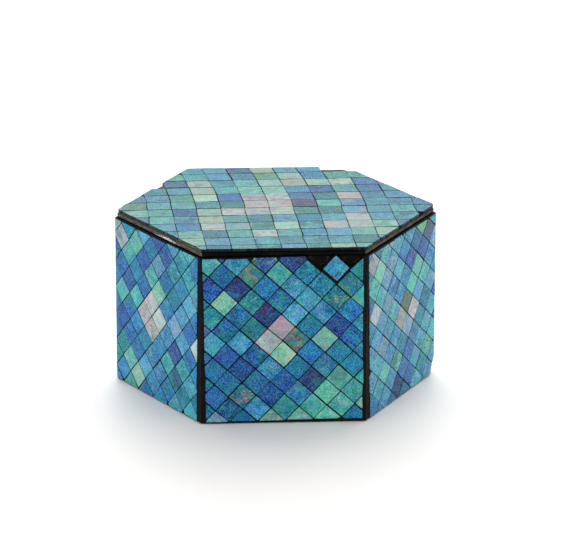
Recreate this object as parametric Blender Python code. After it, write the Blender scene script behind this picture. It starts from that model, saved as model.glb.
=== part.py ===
"""A hexagonal keepsake box of black board, coated in hand-cut opal glass tiles, with a lift-off lid.

The frame is in metres with +Z up and its origin under the middle of the base. The front side faces -Y,
and two corners lie on the X axis.
"""
import math
import random

import bmesh
import bpy
from mathutils import Vector

# Driving sizes of the body, in metres
HEX_SIDE = 0.0760          # one side of the body, measured over its tiles
RIM_HEIGHT = 0.0797        # floor to the top of the walls
BASE_THICKNESS = 0.0040
WALL_THICKNESS = 0.0040
FIT_GAP = 0.0003           # clearance between any two boards or coats that meet

# Driving sizes of the lid
LID_THICKNESS = 0.0022
LID_SETBACK = 0.0011       # how far the lid's edge stays inside the tiled faces
LID_EDGE_BEVEL = 0.0004
LOCATOR_THICKNESS = 0.0025
LOCATOR_CLEARANCE = 0.0010

# The coat of glue, grout and tiles
COAT_THICKNESS = 0.0015
COAT_LIFT = 0.0004         # the coat stops this far above the floor, so the box stands on its base
JOINT_WIDTH = 0.0005
JOINT_DEPTH = 0.0004
FIELD_FOOT = 0.0005        # grout below the lowest tiles
FIELD_HEAD = 0.0003        # grout above the highest tiles
SMALLEST_TILE = 0.0012     # a sliver narrower than this is left as grout
HAND_JITTER = 0.00015      # how far a tile's corner strays from the lattice

# The lattice on each side: its middle node from the middle of the face, its two pitches, and the
# slopes in degrees of its falling and rising lines
SIDE_LATTICES = {
    "front": {"middle": (-0.0007, -0.0003), "pitch": (0.00910, 0.00905), "slopes": (-42.7, 47.4)},
    "front_right": {"middle": (0.0060, -0.0006), "pitch": (0.00925, 0.00915), "slopes": (-37.5, 49.5)},
    "back_right": {"middle": (0.0012, 0.0008), "pitch": (0.00915, 0.00920), "slopes": (-44.2, 45.6)},
    "back": {"middle": (-0.0015, 0.0004), "pitch": (0.00915, 0.00910), "slopes": (-45.8, 44.5)},
    "back_left": {"middle": (0.0020, -0.0006), "pitch": (0.00920, 0.00910), "slopes": (-43.6, 46.9)},
    "front_left": {"middle": (-0.0045, 0.0002), "pitch": (0.00920, 0.00935), "slopes": (-43.5, 45.3)},
}

# Grout left bare beside each tile field, at its top and its foot: first the left edge, then the right
SIDE_MARGINS = {
    "front": ((0.0006, 0.0018), (0.0011, 0.0011)),
    "front_right": ((0.0012, 0.0039), (0.0003, 0.0003)),
    "back_right": ((0.0003, 0.0006), (0.0008, 0.0012)),
    "back": ((0.0008, 0.0011), (0.0010, 0.0006)),
    "back_left": ((0.0012, 0.0008), (0.0004, 0.0003)),
    "front_left": ((0.0003, 0.0003), (0.0016, 0.0034)),
}

# Tiles that have come off, with the glue under them: lattice steps from the middle node
LOST_FRONT_TILES = ((-2, 4), (-2, 5), (-1, 5))
LOST_LID_TILES = ((2, 5), (3, 5), (-6, 3))

# The coat broken off at the foot of the right corner: along the face and up the corner
CHIP_ACROSS = 0.0042
CHIP_UP = 0.0090

# The lid's lattice: a middle node, its pitches, its lean, and how its columns bow towards the back
LID_MIDDLE_NODE = (0.0081, -0.0012)
LID_PITCH = (0.01138, 0.01145)
LID_ROW_RISE = 1.3         # degrees
LID_COLUMN_LEAN = 2.3      # degrees
LID_COLUMN_BOW = 0.95      # sideways bow, per metre of distance squared, behind the middle
LID_FIELD_MARGIN = 0.0004
LID_OVERHANG_BACK = 0.0010
LID_OVERHANG_CORNER = 0.0022

SIDES = ("front", "front_right", "back_right", "back", "back_left", "front_left")
SIDE_STEP = 60.0
HALF_STEP = math.radians(SIDE_STEP / 2)
SPARE_CELLS = 2            # cells laid beyond an outline on every side before it is cut
SHORTEST_EDGE = 0.0001
TOLERANCE = 1e-7           # how far from a plane a point may be and still count as on it


def apothem(side):
    """Distance from the middle of a hexagon to the middle of one side."""
    return side * math.cos(HALF_STEP)


def side_of(distance):
    """Side of the hexagon whose apothem is the given distance."""
    return distance / math.cos(HALF_STEP)


# Levels and distances that follow from the driving sizes
FACE_DISTANCE = apothem(HEX_SIDE)
COAT_BACK = FACE_DISTANCE - COAT_THICKNESS
WALL_OUTSIDE = COAT_BACK - FIT_GAP
WALL_INSIDE = WALL_OUTSIDE - WALL_THICKNESS
WALL_FOOT = BASE_THICKNESS + FIT_GAP
FIELD_BOTTOM = COAT_LIFT + FIELD_FOOT
FIELD_TOP = RIM_HEIGHT - FIELD_HEAD
FIELD_MIDDLE = (FIELD_BOTTOM + FIELD_TOP) / 2
LID_BOTTOM = RIM_HEIGHT + FIT_GAP
LID_TOP = LID_BOTTOM + LID_THICKNESS
LID_COAT_BACK = LID_TOP + FIT_GAP
LID_SURFACE = LID_COAT_BACK + COAT_THICKNESS
LID_SIDE = side_of(FACE_DISTANCE - LID_SETBACK)
LOCATOR_TOP = LID_BOTTOM - FIT_GAP
LOCATOR_SIDE = side_of(WALL_INSIDE - LOCATOR_CLEARANCE)


def remove_everything():
    for old in list(bpy.data.objects):
        bpy.data.objects.remove(old, do_unlink=True)


def plain_material(name, colour, roughness, metallic=0.0):
    material = bpy.data.materials.new(name)
    material.use_nodes = True
    shader = material.node_tree.nodes["Principled BSDF"]
    shader.inputs["Base Color"].default_value = (*colour, 1.0)
    shader.inputs["Roughness"].default_value = roughness
    shader.inputs["Metallic"].default_value = metallic
    return material


def object_from(bm, name, material):
    bmesh.ops.recalc_face_normals(bm, faces=bm.faces[:])
    mesh = bpy.data.meshes.new(name)
    bm.to_mesh(mesh)
    bm.free()
    mesh.materials.append(material)
    made = bpy.data.objects.new(name, mesh)
    bpy.context.scene.collection.objects.link(made)
    return made


def hexagon(side):
    """Corners of a hexagon, anticlockwise from the one on +X."""
    turns = [math.radians(SIDE_STEP * i) for i in range(6)]
    return [(side * math.cos(t), side * math.sin(t)) for t in turns]


def board(name, outline, bottom, top, material, bevel=0.0):
    """A flat board: an outline in plan, raised from one level to another."""
    bm = bmesh.new()
    ring = [bm.verts.new((x, y, bottom)) for x, y in outline]
    floor = bm.faces.new(ring)
    raised = bmesh.ops.extrude_face_region(bm, geom=[floor])
    upper = [item for item in raised["geom"] if isinstance(item, bmesh.types.BMVert)]
    bmesh.ops.translate(bm, verts=upper, vec=(0, 0, top - bottom))
    if bevel > 0:
        bmesh.ops.bevel(bm, geom=bm.edges[:], offset=bevel, segments=1, affect="EDGES")
    return object_from(bm, name, material)


def mitred_half_width(distance):
    """Half the width that a wall or coat may have at a distance from the middle of the box."""
    return distance * math.tan(HALF_STEP) - FIT_GAP / 2 / math.cos(HALF_STEP)


def wall_board(side_index, material):
    """One wall, mitred at both ends, drawn at the front and turned to its side."""
    outer = mitred_half_width(WALL_OUTSIDE)
    inner = mitred_half_width(WALL_INSIDE)
    outline = [(-outer, -WALL_OUTSIDE), (outer, -WALL_OUTSIDE), (inner, -WALL_INSIDE), (-inner, -WALL_INSIDE)]
    wall = board(SIDES[side_index] + "_wall", outline, WALL_FOOT, RIM_HEIGHT, material)
    wall.rotation_euler = (0, 0, math.radians(SIDE_STEP * side_index))
    return wall


def straight_lattice(middle, pitch, slopes, seed):
    """Node places of a lattice of two sets of lines, each node strayed a little as by hand."""
    turns = [math.radians(slope) for slope in slopes]
    steps = [Vector((length * math.cos(turn), length * math.sin(turn))) for length, turn in zip(pitch, turns)]

    def node(i, j):
        dice = random.Random(f"{seed} {i} {j}")
        stray = Vector((dice.uniform(-1, 1), dice.uniform(-1, 1))) * HAND_JITTER
        return Vector(middle) + steps[0] * i + steps[1] * j + stray

    return node


def bowed_lattice(seed):
    """The lid's lattice: rows rise to the right, columns lean and bow to the left at the back."""
    plain = straight_lattice(LID_MIDDLE_NODE, LID_PITCH, (LID_ROW_RISE, 90 + LID_COLUMN_LEAN), seed)

    def node(i, j):
        place = plain(i, j)
        behind = max(0.0, place.y)
        return place - Vector((LID_COLUMN_BOW * behind * behind, 0))

    return node


def lattice_sheet(node, pitch, outline, lost):
    """A flat mesh of lattice cells that covers an outline and a little more, without the lost cells."""
    bm = bmesh.new()
    reach = max((Vector(corner) - node(0, 0)).length for corner in outline)
    count = math.ceil(reach / min(pitch) + SPARE_CELLS)
    verts = {}
    for i in range(-count, count + 1):
        for j in range(-count, count + 1):
            verts[i, j] = bm.verts.new((*node(i, j), 0))
    for i in range(-count, count):
        for j in range(-count, count):
            if (i, j) not in lost:
                bm.faces.new((verts[i, j], verts[i + 1, j], verts[i + 1, j + 1], verts[i, j + 1]))
    return bm


def sides_of(outline):
    """Each side of an anticlockwise outline: where it starts, and its outward normal."""
    corners = [Vector((x, y, 0)) for x, y in outline]
    for start, end in zip(corners, corners[1:] + corners[:1]):
        along = (end - start).normalized()
        yield start, Vector((along.y, -along.x, 0))


def bisect(bm, place, outward, clear):
    """Cuts every face that a plane crosses, and clears what lies beyond the plane if asked."""
    everything = bm.verts[:] + bm.edges[:] + bm.faces[:]
    bmesh.ops.bisect_plane(bm, geom=everything, dist=TOLERANCE, plane_co=place, plane_no=outward,
                           clear_outer=clear)


def cut_along(bm, outline, reach, clear):
    """Cuts the sheet along an outline, with what lies within reach of a side or a corner drawn to it."""
    for start, outward in sides_of(outline):
        for vert in bm.verts:
            beyond = (vert.co - start).dot(outward)
            if abs(beyond) < reach:
                vert.co -= outward * beyond
        bisect(bm, start, outward, clear)
    for x, y in outline:
        corner = Vector((x, y, 0))
        near = [vert for vert in bm.verts if (vert.co - corner).length < reach]
        near.sort(key=lambda vert: (vert.co - corner).length)
        bmesh.ops.weld_verts(bm, targetmap={vert: near[0] for vert in near[1:]})


def holds(outline, place):
    """Whether a place lies inside a convex outline that runs anticlockwise."""
    return all((place - start).dot(outward) < 0 for start, outward in sides_of(outline))


def face_width(face):
    """A cell's mean width, which is four areas over its perimeter, as in a square."""
    return 4 * face.calc_area() / face.calc_perimeter()


def mosaic_mesh(node, pitch, outline, field, lost, bed_back, surface):
    """A coat of grout with raised tiles: the sheet's plane is XY, and it faces +Z at the surface."""
    bm = lattice_sheet(node, pitch, outline, lost)
    cut_along(bm, field, reach=JOINT_WIDTH, clear=False)
    cut_along(bm, outline, reach=SHORTEST_EDGE, clear=True)
    bmesh.ops.remove_doubles(bm, verts=bm.verts[:], dist=SHORTEST_EDGE)
    back = bm.faces[:]
    raised = bmesh.ops.extrude_face_region(bm, geom=back)
    front_verts = [item for item in raised["geom"] if isinstance(item, bmesh.types.BMVert)]
    front_faces = [item for item in raised["geom"] if isinstance(item, bmesh.types.BMFace)]
    bmesh.ops.translate(bm, verts=front_verts, vec=(0, 0, surface - JOINT_DEPTH - bed_back))
    tiles = []
    for face in front_faces:
        middle = face.calc_center_median() * Vector((1, 1, 0))
        if holds(field, middle) and face_width(face) > SMALLEST_TILE + JOINT_WIDTH:
            tiles.append(face)
    bmesh.ops.inset_individual(bm, faces=tiles, thickness=JOINT_WIDTH / 2, depth=JOINT_DEPTH,
                               use_even_offset=True)
    bmesh.ops.dissolve_faces(bm, faces=back)
    bmesh.ops.translate(bm, verts=bm.verts[:], vec=(0, 0, bed_back))
    return bm


def side_outline(name, half, bottom, top):
    """The coat's outline on one side, with the broken corner left out where it meets that corner."""
    if name == "front_right":
        right_foot = [(half - CHIP_ACROSS, bottom), (half, bottom + CHIP_UP)]
    else:
        right_foot = [(half, bottom)]
    if name == "back_right":
        left_foot = [(-half, bottom + CHIP_UP), (-half + CHIP_ACROSS, bottom)]
    else:
        left_foot = [(-half, bottom)]
    return left_foot + right_foot + [(half, top), (-half, top)]


def side_field(name, half):
    """The part of a side that is tiled, inside its margins of bare grout."""
    (left_top, left_foot), (right_top, right_foot) = SIDE_MARGINS[name]
    return [(left_foot - half, FIELD_BOTTOM), (half - right_foot, FIELD_BOTTOM),
            (half - right_top, FIELD_TOP), (left_top - half, FIELD_TOP)]


def side_mosaic(side_index, material):
    """The coat on one wall, its ends mitred to its neighbours'."""
    name = SIDES[side_index]
    lattice = SIDE_LATTICES[name]
    middle = (lattice["middle"][0], lattice["middle"][1] + FIELD_MIDDLE)
    node = straight_lattice(middle, lattice["pitch"], lattice["slopes"], seed=name)
    front_half = mitred_half_width(FACE_DISTANCE - JOINT_DEPTH)
    back_half = mitred_half_width(COAT_BACK)
    outline = side_outline(name, front_half, COAT_LIFT, RIM_HEIGHT)
    field = side_field(name, front_half)
    lost = LOST_FRONT_TILES if name == "front" else ()
    bm = mosaic_mesh(node, lattice["pitch"], outline, field, lost, COAT_BACK, FACE_DISTANCE)
    for vert in bm.verts:
        at_back = vert.co.z < COAT_BACK + TOLERANCE
        at_end = abs(vert.co.x) > front_half - TOLERANCE
        if at_back and at_end:
            vert.co.x = math.copysign(back_half, vert.co.x)
    coat = object_from(bm, name + "_mosaic", material)
    coat.rotation_euler = (math.pi / 2, 0, math.radians(SIDE_STEP * side_index))
    return coat


def lid_outline(inset):
    """The lid coat's outline: regular in front, run over the edge at the back and the back left."""
    right, back_right, back_left, left, front_left, front_right = hexagon(LID_SIDE - side_of(inset))
    back_right = (back_right[0], back_right[1] + LID_OVERHANG_BACK)
    back_left = (back_left[0] - LID_OVERHANG_CORNER, back_left[1] + LID_OVERHANG_BACK)
    return [right, back_right, back_left, left, front_left, front_right]


def lid_mosaic(material):
    """The coat on the lid, which runs a little over the lid's edge at the back."""
    node = bowed_lattice(seed="lid")
    outline = lid_outline(0.0)
    field = lid_outline(LID_FIELD_MARGIN)
    bm = mosaic_mesh(node, LID_PITCH, outline, field, LOST_LID_TILES, LID_COAT_BACK, LID_SURFACE)
    return object_from(bm, "lid_mosaic", material)


def build():
    remove_everything()
    paint = plain_material("black_paint", (0.012, 0.012, 0.013), 0.45)
    glass = plain_material("opal_glass", (0.10, 0.36, 0.46), 0.12)
    board("base_board", hexagon(side_of(WALL_OUTSIDE)), 0.0, BASE_THICKNESS, paint)
    for side_index in range(len(SIDES)):
        wall_board(side_index, paint)
        side_mosaic(side_index, glass)
    board("lid_board", hexagon(LID_SIDE), LID_BOTTOM, LID_TOP, paint, bevel=LID_EDGE_BEVEL)
    board("lid_locating_board", hexagon(LOCATOR_SIDE), LOCATOR_TOP - LOCATOR_THICKNESS, LOCATOR_TOP, paint)
    lid_mosaic(glass)


build()
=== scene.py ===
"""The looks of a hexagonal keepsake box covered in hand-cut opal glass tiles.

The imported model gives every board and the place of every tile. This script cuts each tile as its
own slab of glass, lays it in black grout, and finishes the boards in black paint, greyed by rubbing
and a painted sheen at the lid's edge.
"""
import math
import random

import bmesh
import bpy
from mathutils import Matrix, Vector, noise


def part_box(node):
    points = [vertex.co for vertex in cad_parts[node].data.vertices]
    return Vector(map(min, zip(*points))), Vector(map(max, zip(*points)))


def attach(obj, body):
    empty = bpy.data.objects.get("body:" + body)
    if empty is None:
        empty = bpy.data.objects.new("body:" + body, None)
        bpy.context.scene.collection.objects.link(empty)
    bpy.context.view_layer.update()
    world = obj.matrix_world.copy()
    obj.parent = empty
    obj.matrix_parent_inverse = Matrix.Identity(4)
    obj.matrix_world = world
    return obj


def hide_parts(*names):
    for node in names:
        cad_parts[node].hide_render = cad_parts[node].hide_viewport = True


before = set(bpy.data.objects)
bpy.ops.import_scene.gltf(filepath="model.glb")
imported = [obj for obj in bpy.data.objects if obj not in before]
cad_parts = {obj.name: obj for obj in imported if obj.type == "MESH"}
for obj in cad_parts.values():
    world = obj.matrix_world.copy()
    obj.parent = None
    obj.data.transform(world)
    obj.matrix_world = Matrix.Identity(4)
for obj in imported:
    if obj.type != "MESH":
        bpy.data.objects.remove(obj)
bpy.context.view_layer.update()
MM = 0.001

# The body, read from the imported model
SIDES = ("front", "front_right", "back_right", "back", "back_left", "front_left")
SIDE_STEP = math.radians(60)
HALF_STEP = SIDE_STEP / 2
FACE_DISTANCE = -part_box("front_mosaic")[0].y
FACE_HALF = FACE_DISTANCE * math.tan(HALF_STEP)
LID_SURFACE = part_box("lid_mosaic")[1].z

# How closely the model is read
WELD = 0.001 * MM  # vertices this close together are one
FLAT_TURN = math.radians(0.3)  # faces that turn less than this are one
LEVEL = 0.01 * MM  # a vertex this near a plane lies in it
FACING_UP = 0.99  # a face whose normal rises more than this lies level
CUT_SNAP = 1e-7  # metres within which a cut runs through a vertex
SHARP_TURN = math.radians(50)  # edges that turn more than this look sharp
ROUND_STEPS = 4  # pieces that a quarter round is drawn in

# Tiles
TILE_DEPTH = 1.25 * MM  # thickness of the glass
CUT_STRAY = 0.05 * MM  # how far a cut edge strays from straight
CORNER_ROUND = 0.30 * MM
ROUND_RANGE = (0.6, 1.8)  # shares of that radius that single tiles have
MOST_ROUNDED = 0.35  # share of a side that the rounding of a corner may take
EDGE_ROUND = 0.10 * MM
EDGE_PIECE = 1.6 * MM  # length of the pieces that a cut edge is drawn in
RIM_WIDTH = 0.8 * MM  # width of the band beside a tile's edge that picks up grout
LEAST_INSIDE = 0.3  # share of a narrow tile's size that is left inside that band
FOOT_RIM = 2.0  # how much grout clings at a tile's foot,
CUT_RIM = 1.4  # on its cut edges
TOP_RIM = 1.0  # and round its top
TILE_TURN = math.radians(0.8)
TILE_TILT = 0.008  # slope
TILE_SINK = 0.08 * MM  # the lowest tile lies this far below the highest
CROWN = 0.02 * MM
TILE_SLIDE = 0.08 * MM  # how far a tile may lie off its place
SIDE_GRAIN_TURN = math.pi  # how far the grain of a tile turns either way
LID_GRAIN_TURN = math.radians(9)
GLASS_REACH = 500  # millimetres of glass, each way, that a tile may be cut from

# The joints: slope in degrees of the long ones, width in millimetres of these and of the cross ones
SIDE_JOINTS = {
    "front": (-42.7, 0.46, 0.38),
    "front_right": (-37.5, 0.38, 0.24),
    "back_right": (45.6, 0.42, 0.30),
    "back": (-45.8, 0.42, 0.32),
    "back_left": (46.9, 0.42, 0.30),
    "front_left": (45.3, 0.38, 0.26),
}
LID_JOINTS = (93.0, 0.27, 0.40)
MODEL_JOINT = 0.50 * MM  # gap between tiles in the model
JOINT_STRAY = 0.20 * MM
ALONG_JOINT = 0.8  # cosine of the most that a side on a long joint turns from it
LEAST_TURN = 0.15  # sine of the least turn at which two moved sides are made to meet
STRIP_SLIDE = 0.45 * MM  # how far a whole strip of tiles may lie off, along itself
STRIP_WIDTH = 9.0 * MM
STRIP_REACH = 60.0 * MM  # how far along a strip its slide stays much the same
LID_STRIP_SLOPE = 1.3  # degrees

# Grout
GROUT_DEPTH = 0.42 * MM  # how far it lies below the tiles
GROUT_ROUND = 0.4 * MM  # its radius at the box's upright corners
MITRE_BAND = 0.4 * MM  # grout this near a mitred corner,
END_BAND = 2.0 * MM  # and this near the end of a side, runs out to it

# How far up the cut edges along a side's top and foot are moved, at its left and its right
TOP_RISE = {"front": (0.0, 1.3 * MM)}
FOOT_RISE = {"front": (0.0, 0.6 * MM), "front_left": (-0.6 * MM, -0.6 * MM),
             "front_right": (-0.6 * MM, -0.6 * MM)}
CUT_BAND = 0.05 * MM  # corners this near the top or the foot are cut ones

# How much further out the lid's tiles reach along an edge
EDGE_REACH = {"front_right": 0.52 * MM, "front_left": 0.30 * MM, "front": 0.15 * MM}
EDGE_BAND = 1.40 * MM  # corners this near the edge are moved out with it

# Tiles laid off their place, in millimetres: across and up, and how far they moved
SLIPPED = {"front": ((58.3, 71.0, 0.1, 1.2),), "lid": ((-73, 0, 0.3, 0.0),)}
# Tiles of the lid cut short: across and back, the way the cut edge faces in degrees, how much
CUT_SHORT = ((-45, 46, -90, 0.9), (-44, 35, -90, 0.8), (-30, 42, -90, 0.3))

# What lost tiles left on the lid board: two corners of each patch in millimetres, its thickness,
# how thin it gets as a share of that, and its colour
LOST_PATCHES = (
    ((-60.0, 28.0), (-48.0, 40.0), 1.65, 0.75, (0.085, 0.048, 0.027)),
    ((25.0, 55.5), (43.0, 66.0), 0.45, 0.20, (0.012, 0.011, 0.010)),
)
PATCH_PIECE = 0.5  # size in millimetres of the squares that it is drawn in
PATCH_LUMP = 1.3 * MM
PATCH_MARGIN = 0.5 * MM  # how far it stays inside the board's edges
PATCH_SINK = 0.1 * MM  # how far its skirt goes down into the board
PATCH_DARK = 0.15  # share of its colour that its hollows have

# The lid board
LID_EDGE_ROUND = 0.75 * MM
LID_EDGE_STRAY = 0.03 * MM
LID_EDGE_WAVE = 9 * MM
LID_EDGE_PIECE = 2.5 * MM
LID_CORNER_ROUND = 0.9 * MM
TIP_CUT = 0.8 * MM  # how much of the coat is broken off at the lid's blunt corners
BLUNT_CORNERS = (0, 3)  # the right and the left one, counted anticlockwise from +X

# How far the black edge of the lid is greyed, on its tiles' coat and on its board: partly by
# rubbing, partly as a painted sheen of reflected light on the sides that face the lights
COAT_WEAR_AND_SHEEN = {"front_left": 0.95, "back_left": 0.5}
COAT_EDGE = 0.8 * FACE_DISTANCE  # upright faces of the coat further out are its edge
UPRIGHT = 0.5  # a face whose normal rises less than this is upright
BOARD_WEAR_AND_SHEEN = {"front": 0.05, "front_right": 0.70, "back_right": 0.55, "back": 0.25,
              "back_left": 0.65, "front_left": 0.85}
RUBBED_AND_SHEEN_BAND = {"front_right": (0.15, 0.92)}  # where the board is greyed by rubbing and painted sheen, as shares of its thickness
WHOLE_BAND = (0.0, 1.0)
WEAR_AND_SHEEN_LEVEL = 0.95  # share of the board's greying by rubbing and painted sheen that is there on average,
WEAR_AND_SHEEN_STRAY = 0.15  # and how far that goes up and down
SCUFF_PLACE = (-53.0, -38.0)  # millimetres
SCUFF_REACH = 17.0
SCUFF_LOW = 1.35  # how strong the scuff is at the foot of the board's edge,
SCUFF_FADE = 0.8  # and how much less at its top

# The camera, fitted to the photograph: angles in degrees, lengths in metres
CAMERA_AZIMUTH = 3.283
CAMERA_ELEVATION = 18.125
CAMERA_ROLL = 0.118
CAMERA_PLACE = (0.00302, 0.04547, 1.672)  # right of, above and back from its aim
CAMERA_AIM_HEIGHT = 0.0009
CAMERA_RANGE = (0.1, 100.0)
LENS = 223.9
SENSOR = 36.0

# The studio: its even surround, each light's place, size and power, and its floor
SURROUND = 0.84
LIGHTS = {
    "overhead": ((0.10, 0.92, 1.28), 1.5, 13.6),
    "back_wall": ((0.2, 1.9, 1.6), 1.8, 11.6),
}
LIGHT_AIM = (0, 0, 0.04)
FLOOR_HALF = 3.0
FLOOR_LEVEL = -0.1 * MM  # just clear of the underside, so that no two faces coincide

# Other colours, as linear light
GROUT_BLACKS = ((0.004, 0.004, 0.004), (0.018, 0.017, 0.015))
GROUT_SPECKS = (0.10, 0.095, 0.085)
GROUT_SMEAR = (0.006, 0.007, 0.008)
PAINT_BLACKS = ((0.003, 0.003, 0.003), (0.008, 0.007, 0.006))
GLUE = (0.040, 0.020, 0.012)
# greys of rubbing and of painted sheen on the lid's black edge
RUBBED_AND_SHEEN_GREYS = ((0.070, 0.062, 0.054), (0.150, 0.136, 0.118))
BARE_BOARD = (0.72, 0.70, 0.65)
FLOOR_WHITES = ((0.948, 0.92, 0.898), (0.968, 0.94, 0.918))
DEEP_STREAKS = (0.34, 0.46, 0.64)
FIRE_BLUE = (0.02, 0.13, 0.30)
FIRE_PINK = (0.30, 0.26, 0.34)
FIRE_ORANGE = (0.46, 0.24, 0.10)

# Specular levels
GLASS_GLOSS = 0.08
GROUT_GLOSS = 0.14
PAINT_GLOSS = 0.03

# Glass colours, as they look in soft light, and what clouds each
GLASS = {
    "aqua": ((0.23, 0.69, 0.74), "teal", "mint", "sky"),
    "teal": ((0.1, 0.53, 0.61), "azure", "sea_green", "cobalt"),
    "azure": ((0.1, 0.545, 0.73), "cobalt", "teal", "sky"),
    "sky": ((0.3, 0.635, 0.79), "azure", "lilac", "aqua"),
    "cobalt": ((0.13, 0.41, 0.7), "azure", "ultramarine", "teal"),
    "ultramarine": ((0.14, 0.32, 0.6), "violet", "cobalt", "azure"),
    "violet": ((0.2, 0.23, 0.44), "ultramarine", "slate", "teal"),
    "slate": ((0.18, 0.38, 0.5), "violet", "teal", "cobalt"),
    "mint": ((0.36, 0.75, 0.69), "aqua", "sea_green", "pale_mint"),
    "pale_mint": ((0.56, 0.81, 0.73), "mint", "pearl", "cream"),
    "sea_green": ((0.14, 0.58, 0.54), "teal", "mint", "azure"),
    "lime": ((0.42, 0.7, 0.4), "sea_green", "mint", "aqua"),
    "lilac": ((0.55, 0.65, 0.74), "sky", "pearl", "mint"),
    "pearl": ((0.68, 0.765, 0.755), "cream", "pearl", "pink_pearl"),
    "pink_pearl": ((0.78, 0.72, 0.74), "pearl", "pearl", "lilac"),
    "cream": ((0.69, 0.82, 0.73), "pearl", "pale_mint", "mint"),
    "mauve": ((0.67, 0.61, 0.66), "pink_pearl", "lilac", "mauve"),
    "plum": ((0.56, 0.34, 0.49), "lilac", "violet", "slate"),
    "olive": ((0.4, 0.44, 0.38), "slate", "sea_green", "slate"),
    "ember": ((0.76, 0.5, 0.34), "lime", "olive", "sea_green"),
    "stone": ((0.58, 0.62, 0.6), "pearl", "lilac", "stone"),
}

# The glass of a coat: the share of its listed brightness, partly the glass's own colour and partly
# painted shade set face by face for how light falls on it; how far a painted sheen of reflected
# light pales it, and pales the tiles that stand out; and how far its hue wanders
SIDE_GLASS = {
    "front": (0.91, 0.05, 0.05, 0.98),
    "front_left": (1.01, 0.06, 0.06, 0.68),
    "front_right": (0.99, 0.15, 0.15, 0.50),
}
USUAL_GLASS = (0.98, 0.08, 0.08, 0.75)
# The lid's glass is made darkest, as painted shade for the stronger light on the lid, and paled by
# painted sheen
LID_GLASS = (0.63, 0.11, 0.0, 0.75)
HUE_WANDER = ((0.66, 1.38), (0.84, 1.17), (0.84, 1.17))  # shares of its red, green and blue
# How far its grain lightens and darkens it, as it looks on a screen
SPECKLE = 0.17
SCREEN_GAMMA = 2.2
PALE_RED = 0.20  # glass with this much red is pale,
PALE_GRAIN = 0.45  # and has this share of the grain

# How tiles of one colour differ
LIGHT_RANGE = (0.85, 1.15)
HUE_RANGE = (0.93, 1.07)
CLOUD_TONE = (0.75, 1.2)  # brightness of what clouds a tile, against the tile's own
CLOUDY_SHARE = 0.5
CLOUDY = (0.7, 1.0)  # how strong the clouds of the cloudy ones are,
CLEAR = (0.2, 0.7)  # and of the others
STREAKS = (0.2, 1.0)
LIME_FIRE = 0.2  # fire above which a tile has lime flashes,
EMBER_FIRE = 0.55  # and above which it has ember ones

# How often each colour comes up on the sides and on the lid, away from any area of its own
SIDE_MIX = dict(aqua=13, teal=10, azure=18, sky=11, cobalt=14, ultramarine=3, violet=1, slate=3,
                mint=5, pale_mint=1, sea_green=2, lilac=1)
BLUER_MIX = dict(aqua=13, teal=5, azure=25, sky=18, cobalt=20, ultramarine=2, mint=1)
MIXES = {"front_left": BLUER_MIX, "front_right": dict(BLUER_MIX, aqua=20, lilac=2, mint=2)}
LID_MIX = dict(aqua=34, teal=17, sky=3, azure=2, mint=18, pale_mint=9, sea_green=5, lilac=1,
               pearl=5, cream=2)

# Broad areas of each colour: place and reach in millimetres, across and up from a side's left foot
# or across and back from the lid's middle
AREA_STRENGTH = 300.0  # weight of an area's colour at its middle
SIDE_AREAS = {
    "front": {
        "aqua": ((3, 62, 14), (1, 49, 8)), "ultramarine": ((12, 67, 10), (12, 20, 8)),
        "slate": ((23, 58, 8),), "violet": ((31, 53, 8),), "sky": ((54, 57, 10), (13, 39, 9)),
        "teal": ((46, 52, 10),),
        "cobalt": ((16, 29, 16), (42, 65, 9), (64, 49, 7), (28, 64, 7), (20, 26, 20)),
        "azure": ((38, 13, 14), (66, 34, 12), (52, 71, 10)),
        "mint": ((64, 12, 12), (44, 2, 11), (29, 9, 9)),
    },
    "front_left": {
        "cobalt": ((10, 55, 16), (37, 68, 18), (8, 33, 10)), "aqua": ((60, 70, 12),),
        "azure": ((56, 45, 14), (28, 20, 14), (45, 32, 8), (22, 38, 10), (60, 60, 12), (24, 62, 9),
                  (40, 10, 12)),
        "sky": ((58, 22, 10),), "lilac": ((2, 73, 7),),
    },
    "front_right": {
        "aqua": ((9, 62, 16), (12, 16, 14), (66, 20, 14)),
        "sky": ((28, 62, 12), (25, 38, 16), (44, 55, 12)), "cobalt": ((56, 70, 14),),
        "azure": ((60, 35, 14), (40, 12, 12), (10, 40, 12)),
    },
    "back_right": {"azure": ((20, 60, 16),), "cobalt": ((55, 25, 16),), "mint": ((60, 65, 12),)},
    "back": {"aqua": ((18, 25, 16),), "cobalt": ((55, 60, 16),), "teal": ((60, 20, 12),)},
    "back_left": {"cobalt": ((18, 62, 16),), "aqua": ((52, 24, 16),), "sky": ((20, 20, 12),)},
}
LID_AREAS = {
    "aqua": ((-56, 10, 18), (0, -52, 24), (36, -30, 20), (-40, 20, 16), (50, -8, 16)),
    "azure": ((62, 3, 18), (52, 22, 16)), "teal": ((30, 12, 14), (-20, 60, 14), (-30, -45, 16)),
}

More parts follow.
